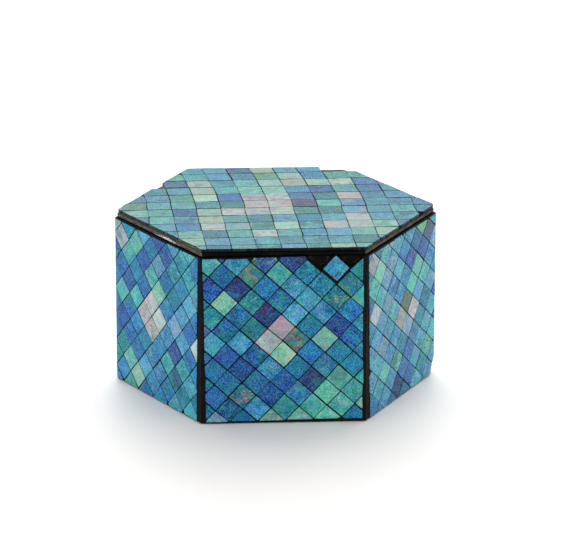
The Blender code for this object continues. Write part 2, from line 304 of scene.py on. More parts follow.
# Single tiles that stand out: place, colour, and how fiery those with fire are
ACCENTS = {
    "front": (
        (22, 70, "lime", 0.6), (18, 13, "sea_green", 0.75), (70, 66, "sea_green", 0.5),
        (63, 60, "slate", 0.5), (53, 22, "violet"), (58, 41, "mint"), (65, 23, "pale_mint"),
        (9, 57, "mint"), (29, 76, "slate", 0.3), (62, 74, "azure"), (22, 44, "sea_green", 0.2),
        (3, 75, "aqua"),
    ),
    "front_left": (
        (33, 58, "mint"), (40, 54, "mint"), (20, 46, "mint"), (12, 66, "sea_green", 0.1),
        (21, 7, "pale_mint"), (13, 13, "mint"), (61, 20, "aqua"), (54, 14, "slate"),
        (71, 36, "pearl"),
    ),
    "front_right": (
        (6, 73, "stone"), (13, 66, "pale_mint"), (10, 50, "lilac"), (58, 77, "lime", 0.1),
        (65, 72, "olive", 0.2), (60, 60, "mint", 0.1), (32, 18, "mint"), (33, 9, "violet"),
    ),
    "lid": (
        (-21, 15, "cobalt"), (-42, -9, "cobalt"), (14, -17, "azure"), (14, 28, "azure"),
        (23, 28, "slate"), (-25, 49, "azure"), (20, 61, "azure"), (-44, -31, "azure"),
        (-2, 50, "lime", 0.1), (-73, 0, "pink_pearl"), (-65, 0, "lime", 0.6), (12, 5, "plum", 0.1),
    ),
}
LUCKY_SHARE = 0.006  # share of the other tiles that are fiery,
LUCKY_FIRE = (0.3, 0.8)  # and how fiery those are

# The pale square ring on the lid: its middle, half its size and half its width in millimetres, and
# the colours of its tiles and of the tiles at the very middle
RING_MIDDLE = (0, 4)
RING_HALF = 33
RING_WIDTH = 6.5
RING_MIX = dict(pearl=5, pink_pearl=2, lilac=3, cream=2, pale_mint=4, aqua=6, mint=3)
HEART_HALF = (13, 18)
HEART_MIX = dict(pink_pearl=3, pearl=4, lilac=1, cream=2)
HEART_MIDDLE = (-4, 4)

# The pale tiles round one node of each side: its place, its left, top, bottom and right tile, and
# how fiery the olive one is
CLUSTERS = {
    "front": ((37.0, 39.5), ("pink_pearl", "mauve", "cream", "olive"), 0.6),
    "front_left": ((33.5, 39.5), ("pink_pearl", "pink_pearl", "pink_pearl", "pearl"), 0.0),
    "front_right": ((44.0, 38.7), ("stone", "olive", "lilac", "pink_pearl"), 0.0),
}
USUAL_CLUSTER = ((37.6, 39.8), ("pink_pearl", "pink_pearl", "cream", "pearl"), 0.0)
CLUSTER_REACH = 6 * MM  # how far from the node its four tiles are looked for
CLUSTER_WAYS = ((-1, 0), (0, 1), (0, -1), (1, 0))


def linear(colour):
    """A colour as it looks on a screen, as the linear colour that shaders take."""
    return tuple(c / 12.92 if c <= 0.04045 else ((c + 0.055) / 1.055) ** 2.4 for c in colour)


def heading(angle):
    """The level direction at an angle from +X."""
    return Vector((math.cos(angle), math.sin(angle)))


# Shapes

class Shape:
    """Gathers the vertices and faces of one object, with named values at each vertex."""

    def __init__(self):
        self.verts = []
        self.faces = []
        self.values = {}

    def ring(self, points, **values):
        """Adds a ring of vertices that share their values, or take one each from a list."""
        start = len(self.verts)
        self.verts.extend(points)
        for name, value in values.items():
            each = value if isinstance(value, list) else [value] * len(points)
            self.values.setdefault(name, []).extend(each)
        return list(range(start, start + len(points)))

    def band(self, lower, upper):
        """Joins two rings of the same count."""
        count = len(lower)
        for k in range(count):
            n = (k + 1) % count
            self.faces.append((lower[k], lower[n], upper[n], upper[k]))

    def tube(self, rings):
        for lower, upper in zip(rings, rings[1:]):
            self.band(lower, upper)

    def cap(self, ring, up=True):
        self.faces.append(tuple(ring if up else reversed(ring)))

    def fan(self, ring, middle):
        for k in range(len(ring)):
            self.faces.append((ring[k], ring[(k + 1) % len(ring)], middle))

    def make(self, name, place, material):
        """Makes the object, with its drawn coordinates set in place by a matrix."""
        mesh = bpy.data.meshes.new(name)
        mesh.from_pydata([place @ Vector(point) for point in self.verts], [], self.faces)
        for key, values in self.values.items():
            store_values(mesh, key, values)
        return finish_object(name, mesh, material)


def store_values(mesh, name, values):
    """Stores a number, a vector or a colour for each vertex."""
    kinds = {float: ("FLOAT", "value"), 3: ("FLOAT_VECTOR", "vector"), 4: ("FLOAT_COLOR", "color")}
    first = values[0]
    kind, field = kinds[float if isinstance(first, float) else len(first)]
    flat = values if isinstance(first, float) else [number for value in values for number in value]
    mesh.attributes.new(name, kind, "POINT").data.foreach_set(field, flat)


def new_object(name, data):
    made = bpy.data.objects.new(name, data)
    bpy.context.scene.collection.objects.link(made)
    return made


def finish_object(name, mesh, material):
    """Makes an object of a mesh, with smooth shading that breaks at sharp edges."""
    mesh.materials.append(material)
    mesh.polygons.foreach_set("use_smooth", [True] * len(mesh.polygons))
    mesh.set_sharp_from_angle(angle=SHARP_TURN)
    mesh.update()
    return new_object(name, mesh)


def sides_of(corners):
    """Each side of a closed outline, as its start, its direction and its length."""
    for start, end in zip(corners, corners[1:] + corners[:1]):
        along = end - start
        yield start, along.normalized(), along.length


def outward(along):
    """The outward normal of a side that runs anticlockwise."""
    return Vector((along.y, -along.x))


def rounded_outline(corners, radius, piece):
    """Points along an anticlockwise outline with rounded corners, each with its outward normal."""
    sides = list(sides_of(corners))
    cuts = []
    for k, (corner, along, length) in enumerate(sides):
        before, length_before = sides[k - 1][1:]
        turn = before.angle_signed(along) if before.length and along.length else 0.0
        reach = abs(math.tan(turn / 2))
        cuts.append(min(radius * reach, MOST_ROUNDED * length, MOST_ROUNDED * length_before))
    points = []
    for k, (corner, along, length) in enumerate(sides):
        before = sides[k - 1][1]
        cut = cuts[k]
        middle_normal = (outward(before) + outward(along)).normalized()
        half_turn = abs(before.angle(along)) / 2
        pull = cut * math.tan(half_turn / 2) if half_turn > 0 else 0.0
        points.append((corner - before * cut, outward(before)))
        points.append((corner - middle_normal * pull, middle_normal))
        points.append((corner + along * cut, outward(along)))
        straight = length - cut - cuts[(k + 1) % len(sides)]
        count = max(1, round(straight / piece))
        for step in range(1, count):
            points.append((corner + along * (cut + straight * step / count), outward(along)))
    return points


# Tiles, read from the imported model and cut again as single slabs

def side_place(index):
    """The matrix that sets a side's drawing in place: X along it, Y up, Z out of its tiles."""
    turn = Matrix.Rotation(SIDE_STEP * index, 4, "Z")
    return turn @ Matrix.Translation((0, -FACE_DISTANCE, 0)) @ Matrix.Rotation(math.pi / 2, 4, "X")


def join_flat_faces(bm):
    bmesh.ops.dissolve_limit(bm, angle_limit=FLAT_TURN, verts=bm.verts[:], edges=bm.edges[:])


def flat_copy(node, place):
    """A copy of a coat in its side's own drawing, with its flat parts joined into single faces."""
    bm = bmesh.new()
    bm.from_mesh(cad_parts[node].data)
    bm.transform(place.inverted())
    bmesh.ops.remove_doubles(bm, verts=bm.verts[:], dist=WELD)
    join_flat_faces(bm)
    return bm


def middle_of(corners):
    return sum(corners, Vector((0, 0))) / len(corners)


def row_order(corners):
    """Sorts outlines by rows from the foot, and in a row from the left."""
    middle = middle_of(corners)
    return round(middle.y / MM), middle.x


def tile_outlines(bm):
    """The outline of each tile in the model: the faces that lie in the coat's highest plane."""
    outlines = []
    for face in bm.faces:
        if face.normal.z > FACING_UP and all(abs(vert.co.z) < LEVEL for vert in face.verts):
            outlines.append([vert.co.xy.copy() for vert in face.verts])
    return sorted(outlines, key=row_order)


def narrowest(corners, middle):
    """Distance from the middle of an outline to its nearest side."""
    sides = sides_of(corners)
    return min(abs((middle - start).dot(outward(along))) for start, along, length in sides)


def widened(corners, joints, dice):
    """The outline with each side moved out to give its joint the width that its way asks."""
    slope, long_joint, cross_joint = joints
    way = heading(math.radians(slope))
    lines = []
    for start, along, length in sides_of(corners):
        joint = (long_joint if abs(along.dot(way)) > ALONG_JOINT else cross_joint) * MM
        joint += dice.uniform(-1, 1) * JOINT_STRAY
        lines.append((start + outward(along) * (MODEL_JOINT - joint) / 2, along))
    moved = []
    for (start, along), (start_before, before) in zip(lines, lines[-1:] + lines[:-1]):
        crossing = before.cross(along)
        if abs(crossing) < LEAST_TURN:
            moved.append(start)
        else:
            moved.append(start_before + before * ((start - start_before).cross(along) / crossing))
    return moved


def turned(corners, middle, angle):
    turn = Matrix.Rotation(angle, 2)
    return [middle + turn @ (corner - middle) for corner in corners]


def cut_edge(corners, dice):
    """The outline as it was cut, with its corners rounded and its sides not quite straight."""
    radius = CORNER_ROUND * dice.uniform(*ROUND_RANGE)
    edge = rounded_outline(corners, radius, EDGE_PIECE)
    return [(point + normal * dice.uniform(-1, 1) * CUT_STRAY, normal) for point, normal in edge]


def add_tile(shape, corners, joints, look, grain_turn, dice):
    """One slab of glass, cut a little off true, with softened edges, laid a little out of level."""
    middle = middle_of(corners)
    corners = turned(widened(corners, joints, dice), middle, dice.uniform(-1, 1) * TILE_TURN)
    slide = Vector((dice.uniform(-1, 1), dice.uniform(-1, 1))) * TILE_SLIDE
    corners = [corner + slide for corner in corners]
    edge = cut_edge(corners, dice)
    slope = Vector((dice.uniform(-1, 1), dice.uniform(-1, 1))) * TILE_TILT
    reach = max((point - middle).length for point, normal in edge)
    top = -dice.uniform(0, 1) * TILE_SINK - slope.length * reach - CROWN
    rotation = Matrix.Rotation(grain_turn, 2)
    offset = Vector([dice.uniform(-GLASS_REACH, GLASS_REACH) for axis in range(3)])

    def inset(amount):
        return [point - normal * amount for point, normal in edge]

    def ring(points, drop, rim, level=None):
        """Vertices that lie a drop below the tile's tilted top, or at one level."""
        placed = []
        places = []
        for at in points:
            height = top - drop + slope.dot(at - middle) if level is None else level
            placed.append((at.x, at.y, height))
            drawn = rotation @ (at - middle) / MM
            places.append((drawn.x + offset.x, drawn.y + offset.y, offset.z))
        return shape.ring(placed, tile_place=places, rim=rim, **look)

    soft = EDGE_ROUND * (1 - math.cos(math.pi / 4))
    shoulder = inset(EDGE_ROUND)
    share = max(LEAST_INSIDE, 1 - RIM_WIDTH / narrowest(corners, middle))
    inside = [middle + (point - middle) * share for point in shoulder]
    rings = [
        ring(inset(0), 0, FOOT_RIM, level=-TILE_DEPTH), ring(inset(0), EDGE_ROUND, CUT_RIM),
        ring(inset(soft), soft, CUT_RIM), ring(shoulder, 0, TOP_RIM), ring(inside, -CROWN, 0.0),
    ]
    shape.cap(rings[0], up=False)
    shape.tube(rings)
    shape.fan(rings[-1], ring([middle], -CROWN, 0.0)[0])


# Which glass each tile is cut from

def pick(weights, dice):
    names = sorted(weights)
    return dice.choices(names, [weights[name] for name in names])[0]


def pick_at(mix, areas, across, up, dice):
    """A colour out of the usual mix, with more of an area's colour the nearer its middle is."""
    weights = dict(mix)
    for name, spots in areas.items():
        for x, y, reach in spots:
            near = math.exp(-((across - x) ** 2 + (up - y) ** 2) / (2 * (reach / 2) ** 2))
            weights[name] = weights.get(name, 0) + AREA_STRENGTH * near
    return pick(weights, dice)


def varied(name, dice, tone, sheen_wash):
    """A listed colour, lighter or darker by a per-face share that is partly painted shade and a
    little at random, a little off in hue, and paled by a painted sheen.
    """
    # The per-face brightness share is partly painted shade
    light = tone * dice.uniform(*LIGHT_RANGE)
    listed = linear(GLASS[name][0])
    pale = sum(listed) / 3
    # Pales the glass towards grey as a painted sheen of reflected light
    colour = [(c + (pale - c) * sheen_wash) * light * dice.uniform(*HUE_RANGE) for c in listed]
    return (*(min(1.0, c) for c in colour), 1.0)


def glass_look(name, fire, dice, tone, sheen_wash, shimmer):
    """The values that tell the glass shader what one tile is like."""
    listed, *clouds = GLASS[name]
    cloudiness = dice.uniform(*(CLOUDY if dice.random() < CLOUDY_SHARE else CLEAR))
    streaks = dice.uniform(*STREAKS)
    paleness = min(1.0, linear(listed)[0] / PALE_RED)
    flash = "ember" if fire > EMBER_FIRE else "lime" if fire > LIME_FIRE else dice.choice(clouds)
    grain = (1 - (1 - PALE_GRAIN) * paleness) * (1 + sheen_wash)
    return {
        "glass_colour": varied(name, dice, tone, sheen_wash),
        "cloud_colour": varied(dice.choice(clouds), dice, tone * dice.uniform(*CLOUD_TONE), sheen_wash),
        "flash_colour": varied(flash, dice, tone, sheen_wash),
        "glass_look": (cloudiness, streaks, fire),
        "grain": grain,
        "shimmer": grain * shimmer,
    }


def nearest(outlines, place):
    return min(range(len(outlines)), key=lambda k: (middle_of(outlines[k]) - place).length)


def cluster_tiles(outlines, spot, names, olive_fire):
    """The four tiles round the node nearest to a spot, each with its colour."""
    corners = [corner for outline in outlines for corner in outline]
    node = min(corners, key=lambda corner: (corner - spot).length)
    tiles = {}
    for way, name in zip(CLUSTER_WAYS, names):
        fire = olive_fire if name == "olive" else 0.0
        tiles[nearest(outlines, node + Vector(way) * CLUSTER_REACH)] = (name, fire)
    return tiles


def accent_tiles(outlines, accents, origin):
    tiles = {}
    for across, up, name, *fire in accents:
        tiles[nearest(outlines, origin + Vector((across, up)) * MM)] = (name, *fire, 0.0)[:2]
    return tiles


def lay_tiles(name, place, outlines, joints, choose, fixed, grain_turn, kind, material):
    tone, sheen_wash, fixed_sheen_wash, shimmer = kind
    shape = Shape()
    for k, corners in enumerate(outlines):
        dice = random.Random(f"{name} {k}")
        lucky = dice.uniform(*LUCKY_FIRE) if dice.random() < LUCKY_SHARE else 0.0
        colour, fire = fixed.get(k) or (choose(middle_of(corners), dice), lucky)
        look = glass_look(colour, fire, dice, tone, fixed_sheen_wash if k in fixed else sheen_wash, shimmer)
        add_tile(shape, corners, joints, look, dice.uniform(-grain_turn, grain_turn), dice)
    return shape.make(name, place, material)


def slip_tiles(outlines, moves, origin):
    """Moves the tiles that were laid off their place."""
    for across, up, along, rise in moves:
        k = nearest(outlines, origin + Vector((across, up)) * MM)
        outlines[k] = [corner + Vector((along, rise)) * MM for corner in outlines[k]]


def raise_row(outlines, level, left, right):
    """Moves the cut corners at a level up, by one amount at the left and another at the right."""
    for corners in outlines:
        for corner in corners:
            if abs(corner.y - level) < CUT_BAND:
                corner.y += left + (right - left) * (corner.x + FACE_HALF) / (2 * FACE_HALF)


def slide_strips(outlines, slope, seed):
    """Slides the strips of tiles along themselves, each a little differently."""
    along = heading(math.radians(slope))
    for k, corners in enumerate(outlines):
        middle = middle_of(corners)
        place = Vector((middle.dot(along) / STRIP_REACH, middle.cross(along) / STRIP_WIDTH, seed))
        shift = along * noise.noise(place) * STRIP_SLIDE
        outlines[k] = [corner + shift for corner in corners]


def reach_edge(outlines, side, amount):
    """Lets the lid's tiles reach further out along one edge, so that their cut edges show."""
    way = heading(SIDE_STEP * SIDES.index(side) - math.pi / 2)
    edge = max(corner.dot(way) for corners in outlines for corner in corners)
    for corners in outlines:
        for n, corner in enumerate(corners):
            short = edge - corner.dot(way)
            if short < EDGE_BAND:
                corners[n] = corner + way * (short + amount)


def cut_tiles(outlines, cuts):
    """Cuts back the edge of a tile of the lid that faces a given way."""
    for across, back, facing, amount in cuts:
        corners = outlines[nearest(outlines, Vector((across, back)) * MM)]
        way = heading(math.radians(facing))
        facings = [outward(along).dot(way) for start, along, length in sides_of(corners)]
        first = facings.index(max(facings))
        for n in (first, (first + 1) % len(corners)):
            corners[n] = corners[n] - way * amount * MM


def lay_grout(name, bm, place, material, is_side):
    """The coat with its tiles pressed flat: black grout, rounded at the box's upright corners."""
    for vert in bm.verts:
        if vert.co.z > -GROUT_DEPTH:
            vert.co.z = -GROUT_DEPTH
    join_flat_faces(bm)
    if is_side:
        round_upright_ends(bm)
    mesh = bpy.data.meshes.new(name)
    bmesh.ops.triangulate(bm, faces=bm.faces[:])
    bm.to_mesh(mesh)
    bm.free()
    mesh.transform(place)
    return finish_object(name, mesh, material)


def mitre(z):
    """Half the width of a side's coat at a height of its drawing, out to the mitred corner."""
    return (FACE_DISTANCE + z) * math.tan(HALF_STEP)


def round_upright_ends(bm):
    """Runs the grout out to the mitred corners and rounds it there."""
    half = mitre(-GROUT_DEPTH)
    for vert in bm.verts:
        if abs(vert.co.x) > mitre(vert.co.z) - MITRE_BAND and abs(vert.co.x) > half - END_BAND:
            vert.co.x = math.copysign(mitre(vert.co.z), vert.co.x)
    start = half - GROUT_ROUND * math.tan(HALF_STEP / 2) * 2
    for step in range(ROUND_STEPS):
        at = start + (half - start) * step / ROUND_STEPS
        for side in (-1, 1):
            everything = bm.verts[:] + bm.edges[:] + bm.faces[:]
            bmesh.ops.bisect_plane(bm, geom=everything, dist=CUT_SNAP, plane_co=(side * at, 0, 0),
                                   plane_no=(side, 0, 0))
    for vert in bm.verts:
        beyond = abs(vert.co.x) - start
        if beyond > 0 and vert.co.z > -GROUT_DEPTH - LEVEL:
            vert.co.z -= GROUT_ROUND - math.sqrt(max(0.0, GROUT_ROUND ** 2 - beyond ** 2))
            limit = mitre(vert.co.z)
            if abs(vert.co.x) > limit:
                vert.co.x = math.copysign(limit, vert.co.x)


# Nodes of materials

def add(kind, inputs, tree=None, **settings):
    """Adds a shader node to the tree of what feeds it, with its settings and other inputs."""
    fed = [key for key, value in inputs.items() if isinstance(value, bpy.types.NodeSocket)]
    tree = tree or inputs[fed[0]].id_data
    node = tree.nodes.new(kind)
    for key, value in settings.items():
        setattr(node, key, value)
    for key, value in inputs.items():
        if key in fed:
            tree.links.new(value, node.inputs[key])
        else:
            node.inputs[key].default_value = value
    return node


def blend(factor, first, second, kind="MIX"):
    """Mixes two colours by a factor."""
    first, second = ((*c, 1.0) if isinstance(c, tuple) else c for c in (first, second))
    inputs = {0: factor, 6: first, 7: second}  # a Mix node's sockets for colours
    settings = {"data_type": "RGBA", "blend_type": kind, "clamp_result": kind == "ADD"}
    return add("ShaderNodeMix", inputs, **settings).outputs[2]


def math_of(operation, first, second):
    return add("ShaderNodeMath", {0: first, 1: second}, operation=operation).outputs[0]


def product(first, second):
    return math_of("MULTIPLY", first, second)


def attribute(tree, name, output="Fac"):
    return add("ShaderNodeAttribute", {}, tree, attribute_name=name).outputs[output]


def position(tree):
    return add("ShaderNodeNewGeometry", {}, tree).outputs["Position"]


def cloud(place, scale, detail=3.0, roughness=0.55, distortion=0.0, output="Fac"):
    """Noise with so many clouds to a metre, or to a millimetre of a tile's own glass."""
    inputs = {"Vector": place, "Scale": scale, "Detail": detail}
    inputs.update(Roughness=roughness, Distortion=distortion)
    return add("ShaderNodeTexNoise", inputs).outputs[output]


def three_clouds(place, scale, detail, distortion=0.0):
    colour = cloud(place, scale, detail, 0.5, distortion, "Color")
    return add("ShaderNodeSeparateColor", {0: colour}).outputs


def stretch(place, scale):
    return add("ShaderNodeMapping", {"Vector": place, "Scale": scale}).outputs[0]


def ramp(value, low, high, to_low=0.0, to_high=1.0):
    """A smooth step from one value to another."""
    inputs = {"Value": value, "From Min": low, "From Max": high}
    inputs.update({"To Min": to_low, "To Max": to_high})
    return add("ShaderNodeMapRange", inputs, interpolation_type="SMOOTHSTEP").outputs[0]


def colour_of(red, green, blue):
    return add("ShaderNodeCombineColor", {0: red, 1: green, 2: blue}).outputs[0]


def patches(colour, hue, pattern, low, high, share, most=1.0, kind="MIX"):
    """Blends a hue into a colour where a pattern is strong, as much as a share says."""
    amount = product(ramp(pattern, low, high, 0.0, most), share)
    return blend(amount, colour, hue, kind)


def new_material(name):
    material = bpy.data.materials.new(name)
    material.use_nodes = True
    return material, material.node_tree


def complete(material, colour, roughness, height=None, depth=0.0, gloss=0.5):
    """Feeds the material's shader with its colour, roughness and bumps, and sets its gloss."""
    tree = material.node_tree
    inputs = tree.nodes["Principled BSDF"].inputs
    tree.links.new(colour, inputs["Base Color"])
    tree.links.new(roughness, inputs["Roughness"])
    if height is not None:
        bump = add("ShaderNodeBump", {"Height": height, "Distance": depth})
        tree.links.new(bump.outputs[0], inputs["Normal"])
    inputs["Specular IOR Level"].default_value = gloss
    return material


# The glass

def clouded(tree, place, cloudiness, streaks, fire):
    """A tile's own colour with its clouds, streaks and flashes."""
    base = attribute(tree, "glass_colour", "Color")
    second = attribute(tree, "cloud_colour", "Color")
    flash = attribute(tree, "flash_colour", "Color")
    drift = cloud(place, 0.10, detail=1.0)
    colour = patches(base, second, drift, 0.42, 0.58, cloudiness)
    streaky = stretch(place, (0.65, 1.25, 1.0))
    first, other, dark = three_clouds(streaky, 0.28, detail=2.0, distortion=0.7)
    colour = patches(colour, second, first, 0.42, 0.60, streaks)
    flare = ramp(fire, 0.0, 1.0, 0.45, 0.9)
    colour = patches(colour, flash, other, 0.50, 0.66, flare)
    return patches(colour, DEEP_STREAKS, dark, 0.46, 0.70, streaks, 0.80, "MULTIPLY")


def fiery(place, colour, fire):
    """Patches of blue, pink and orange in the tiles that have fire."""
    burn, cool, pink = three_clouds(place, 0.32, detail=2.0, distortion=0.6)
    fierce = ramp(fire, 0.45, 0.90)
    colour = patches(colour, FIRE_BLUE, cool, 0.44, 0.62, fire)
    colour = patches(colour, FIRE_PINK, pink, 0.54, 0.72, fire, 0.6)
    return patches(colour, FIRE_ORANGE, burn, 0.54, 0.74, fierce, 0.8)


def shimmering(tree, place, colour):
    """A faint wandering of the hue."""
    waves = three_clouds(place, 0.26, detail=1.0)
    shares = [ramp(wave, 0.30, 0.70, *ends) for wave, ends in zip(waves, HUE_WANDER)]
    return blend(attribute(tree, "shimmer"), colour, colour_of(*shares), "MULTIPLY")


def grained(tree, place, colour):
    """Fine grain, added to the glass as it looks on a screen."""
    grains = cloud(place, 1.6, roughness=0.85)
    speckle = ramp(grains, 0.34, 0.66, -SPECKLE, SPECKLE)
    speckle = product(speckle, attribute(tree, "grain"))
    seen = add("ShaderNodeGamma", {"Color": colour, "Gamma": 1 / SCREEN_GAMMA}).outputs[0]
    seen = blend(1.0, seen, colour_of(speckle, speckle, speckle), "ADD")
    return add("ShaderNodeGamma", {"Color": seen, "Gamma": SCREEN_GAMMA}).outputs[0]


def smeared(tree, place, colour):
    """Grout clinging to the cut edges."""
    smear = product(cloud(place, 0.8), 0.5)
    rim = math_of("ADD", attribute(tree, "rim"), smear)
    return blend(ramp(rim, 1.15, 1.85, 0.0, 0.92), colour, GROUT_SMEAR)


def opal_glass():
    """Clouded, streaked and mottled opal glass, each tile with its own colours."""
    material, tree = new_material("opal_glass")
    place = attribute(tree, "tile_place", "Vector")
    look = add("ShaderNodeSeparateXYZ", {0: attribute(tree, "glass_look", "Vector")})
    cloudiness, streaks, fire = look.outputs
    colour = fiery(place, clouded(tree, place, cloudiness, streaks, fire), fire)
    for finish in (shimmering, grained, smeared):
        colour = finish(tree, place, colour)
    roughness = ramp(cloud(place, 0.5), 0.3, 0.7, 0.22, 0.38)
    ripples = product(cloud(place, 2.2, detail=2.0), 0.15)
    waves = math_of("ADD", cloud(place, 0.35, detail=1.0), ripples)
    return complete(material, colour, roughness, waves, 0.06 * MM, GLASS_GLOSS)


# Grout, paint, glue and the floor

def rubbed_and_sheen_grey(tree, place, colour):
    """Greys black to a grey brown as much as the piece says, partly by rubbing and partly as a
    painted sheen of reflected light, and to pale board in places.
    """
    wear_and_sheen = attribute(tree, "wear_and_sheen")
    streaks = cloud(stretch(place, (1, 1, 5)), 240, detail=4.0, roughness=0.6)
    rubbing_sheen_grey = blend(ramp(streaks, 0.35, 0.65), *RUBBED_AND_SHEEN_GREYS)
    amount = product(wear_and_sheen, ramp(streaks, 0.25, 0.55, 0.75, 1.0))
    colour = blend(ramp(amount, 0.1, 0.9), colour, rubbing_sheen_grey)
    grain = cloud(place, 500, detail=5.0, roughness=0.7)
    bare = ramp(product(wear_and_sheen, grain), 0.66, 0.80)
    chipped = ramp(product(attribute(tree, "scuff"), grain), 0.40, 0.45)
    return blend(math_of("MAXIMUM", bare, chipped), colour, BARE_BOARD)


def black_grout(name="black_grout", worn_and_sheen=False):
    """Gritty black grout with a faint grey haze, greyed by rubbing and a painted sheen where the
    piece says so.
    """
    material, tree = new_material(name)
    place = position(tree)
    haze = ramp(cloud(place, 260, detail=4.0, roughness=0.7), 0.50, 0.75)
    specks = ramp(cloud(place, 800, roughness=0.7), 0.64, 0.76)
    colour = blend(specks, blend(haze, *GROUT_BLACKS), GROUT_SPECKS)
    if worn_and_sheen:
        colour = rubbed_and_sheen_grey(tree, place, colour)
    grit = cloud(place, 1800, roughness=0.7)
    roughness = ramp(haze, 0.0, 1.0, 0.75, 0.95)
    return complete(material, colour, roughness, grit, 0.12 * MM, GROUT_GLOSS)


def black_paint(name, glued=False, worn_and_sheen=False):
    """Brushed satin black paint on fibre board, with glue where tiles sat, or with edges greyed by
    rubbing and a painted sheen.
    """
    material, tree = new_material(name)
    place = position(tree)
    mottle = ramp(cloud(place, 90, detail=4.0, roughness=0.6), 0.35, 0.70)
    colour = blend(mottle, *PAINT_BLACKS)
    if glued:
        dabs = cloud(place, 420, detail=4.0, roughness=0.6, distortion=0.8)
        colour = blend(ramp(dabs, 0.54, 0.72), colour, GLUE)
    if worn_and_sheen:
        colour = rubbed_and_sheen_grey(tree, place, colour)
    fibres = cloud(stretch(place, (1, 1, 3)), 700, roughness=0.6)
    roughness = ramp(cloud(place, 160), 0.3, 0.7, 0.38, 0.55)
    return complete(material, colour, roughness, fibres, 0.05 * MM, PAINT_GLOSS)


def dried_bed(name, colour_of_bed):
    """What is left of the glue and grout where a tile came off."""
    material, tree = new_material(name)
    lumps = cloud(position(tree), 600, detail=4.0, roughness=0.6)
    darker = tuple(PATCH_DARK * c for c in colour_of_bed)
    colour = blend(ramp(lumps, 0.40, 0.62), darker, colour_of_bed)
    return complete(material, colour, ramp(lumps, 0.3, 0.7, 0.6, 0.9), lumps, 0.15 * MM)


def pale_floor():
    material, tree = new_material("white_table")
    place = position(tree)
    colour = blend(cloud(place, 3.0), *FLOOR_WHITES)
    return complete(material, colour, ramp(cloud(place, 8.0), 0.3, 0.7, 0.45, 0.55))


# The object

def dress(piece, node):
    """Sets a piece on the box in place of a node of the model."""
    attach(piece, "root")
    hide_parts(node)


def coat_side(index, glass, grout):
    side = SIDES[index]
    place = side_place(index)
    bm = flat_copy(side + "_mosaic", place)
    outlines = tile_outlines(bm)
    origin = Vector((-FACE_HALF, 0))
    levels = [corner.y for corners in outlines for corner in corners]
    for level, rises in ((max(levels), TOP_RISE), (min(levels), FOOT_RISE)):
        raise_row(outlines, level, *rises.get(side, (0.0, 0.0)))
    slip_tiles(outlines, SLIPPED.get(side, ()), origin)
    slide_strips(outlines, SIDE_JOINTS[side][0], index)
    fixed = accent_tiles(outlines, ACCENTS.get(side, ()), origin)
    spot, names, olive_fire = CLUSTERS.get(side, USUAL_CLUSTER)
    fixed.update(cluster_tiles(outlines, origin + Vector(spot) * MM, names, olive_fire))

    def choose(at, dice):
        across = (at.x + FACE_HALF) / MM
        return pick_at(MIXES.get(side, SIDE_MIX), SIDE_AREAS[side], across, at.y / MM, dice)

    kind = SIDE_GLASS.get(side, USUAL_GLASS)
    tiles = lay_tiles(side + "_tiles", place, outlines, SIDE_JOINTS[side], choose, fixed,
                      SIDE_GRAIN_TURN, kind, glass)
    dress(tiles, side + "_mosaic")
    bed = lay_grout(side + "_grout", bm, place, grout, is_side=True)
    dress(bed, side + "_mosaic")


def side_facing(x, y):
    """The side whose outward direction is nearest to a level direction."""
    return SIDES[round((math.atan2(y, x) + math.pi / 2) / SIDE_STEP) % len(SIDES)]


def break_tips(piece):
    """Breaks the tips off a piece of the lid's coat at its blunt corners."""
    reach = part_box("lid_mosaic")[1].x - TIP_CUT
    for corner in BLUNT_CORNERS:
        way = heading(SIDE_STEP * corner).to_3d()
        for vert in piece.data.vertices:
            beyond = vert.co.dot(way) - reach
            if beyond > 0:
                vert.co -= way * beyond


def rub_and_sheen_coat(bed):
    """Says how far each face at the edge of the lid's coat is greyed by rubbing and a painted
    sheen.
    """
    wear_and_sheen = []
    for face in bed.data.polygons:
        is_edge = abs(face.normal.z) < UPRIGHT and face.center.length > COAT_EDGE
        side = side_facing(face.normal.x, face.normal.y)
        wear_and_sheen.append(COAT_WEAR_AND_SHEEN.get(side, 0.0) if is_edge else 0.0)
    bed.data.attributes.new("wear_and_sheen", "FLOAT", "FACE").data.foreach_set("value", wear_and_sheen)


def lid_colour(at, dice):
    out = at / MM - Vector(RING_MIDDLE)
    heart = at / MM - Vector(HEART_MIDDLE)
    if abs(heart.x) < HEART_HALF[0] and abs(heart.y) < HEART_HALF[1]:
        return pick(HEART_MIX, dice)
    if abs(max(abs(out.x), abs(out.y)) - RING_HALF) < RING_WIDTH:
        return pick(RING_MIX, dice)
    return pick_at(LID_MIX, LID_AREAS, at.x / MM, at.y / MM, dice)


def coat_lid(glass, grout):
    place = Matrix.Translation((0, 0, LID_SURFACE))
    middle = Vector((0, 0))
    bm = flat_copy("lid_mosaic", place)
    outlines = tile_outlines(bm)
    cut_tiles(outlines, CUT_SHORT)
    slip_tiles(outlines, SLIPPED["lid"], middle)
    slide_strips(outlines, LID_STRIP_SLOPE, len(SIDES))
    for side, amount in EDGE_REACH.items():
        reach_edge(outlines, side, amount)
    fixed = accent_tiles(outlines, ACCENTS["lid"], middle)
    tiles = lay_tiles("lid_tiles", place, outlines, LID_JOINTS, lid_colour, fixed,
                      LID_GRAIN_TURN, LID_GLASS, glass)
    break_tips(tiles)
    dress(tiles, "lid_mosaic")
    bed = lay_grout("lid_grout", bm, place, grout, is_side=False)
    break_tips(bed)
    rub_and_sheen_coat(bed)
    dress(bed, "lid_mosaic")


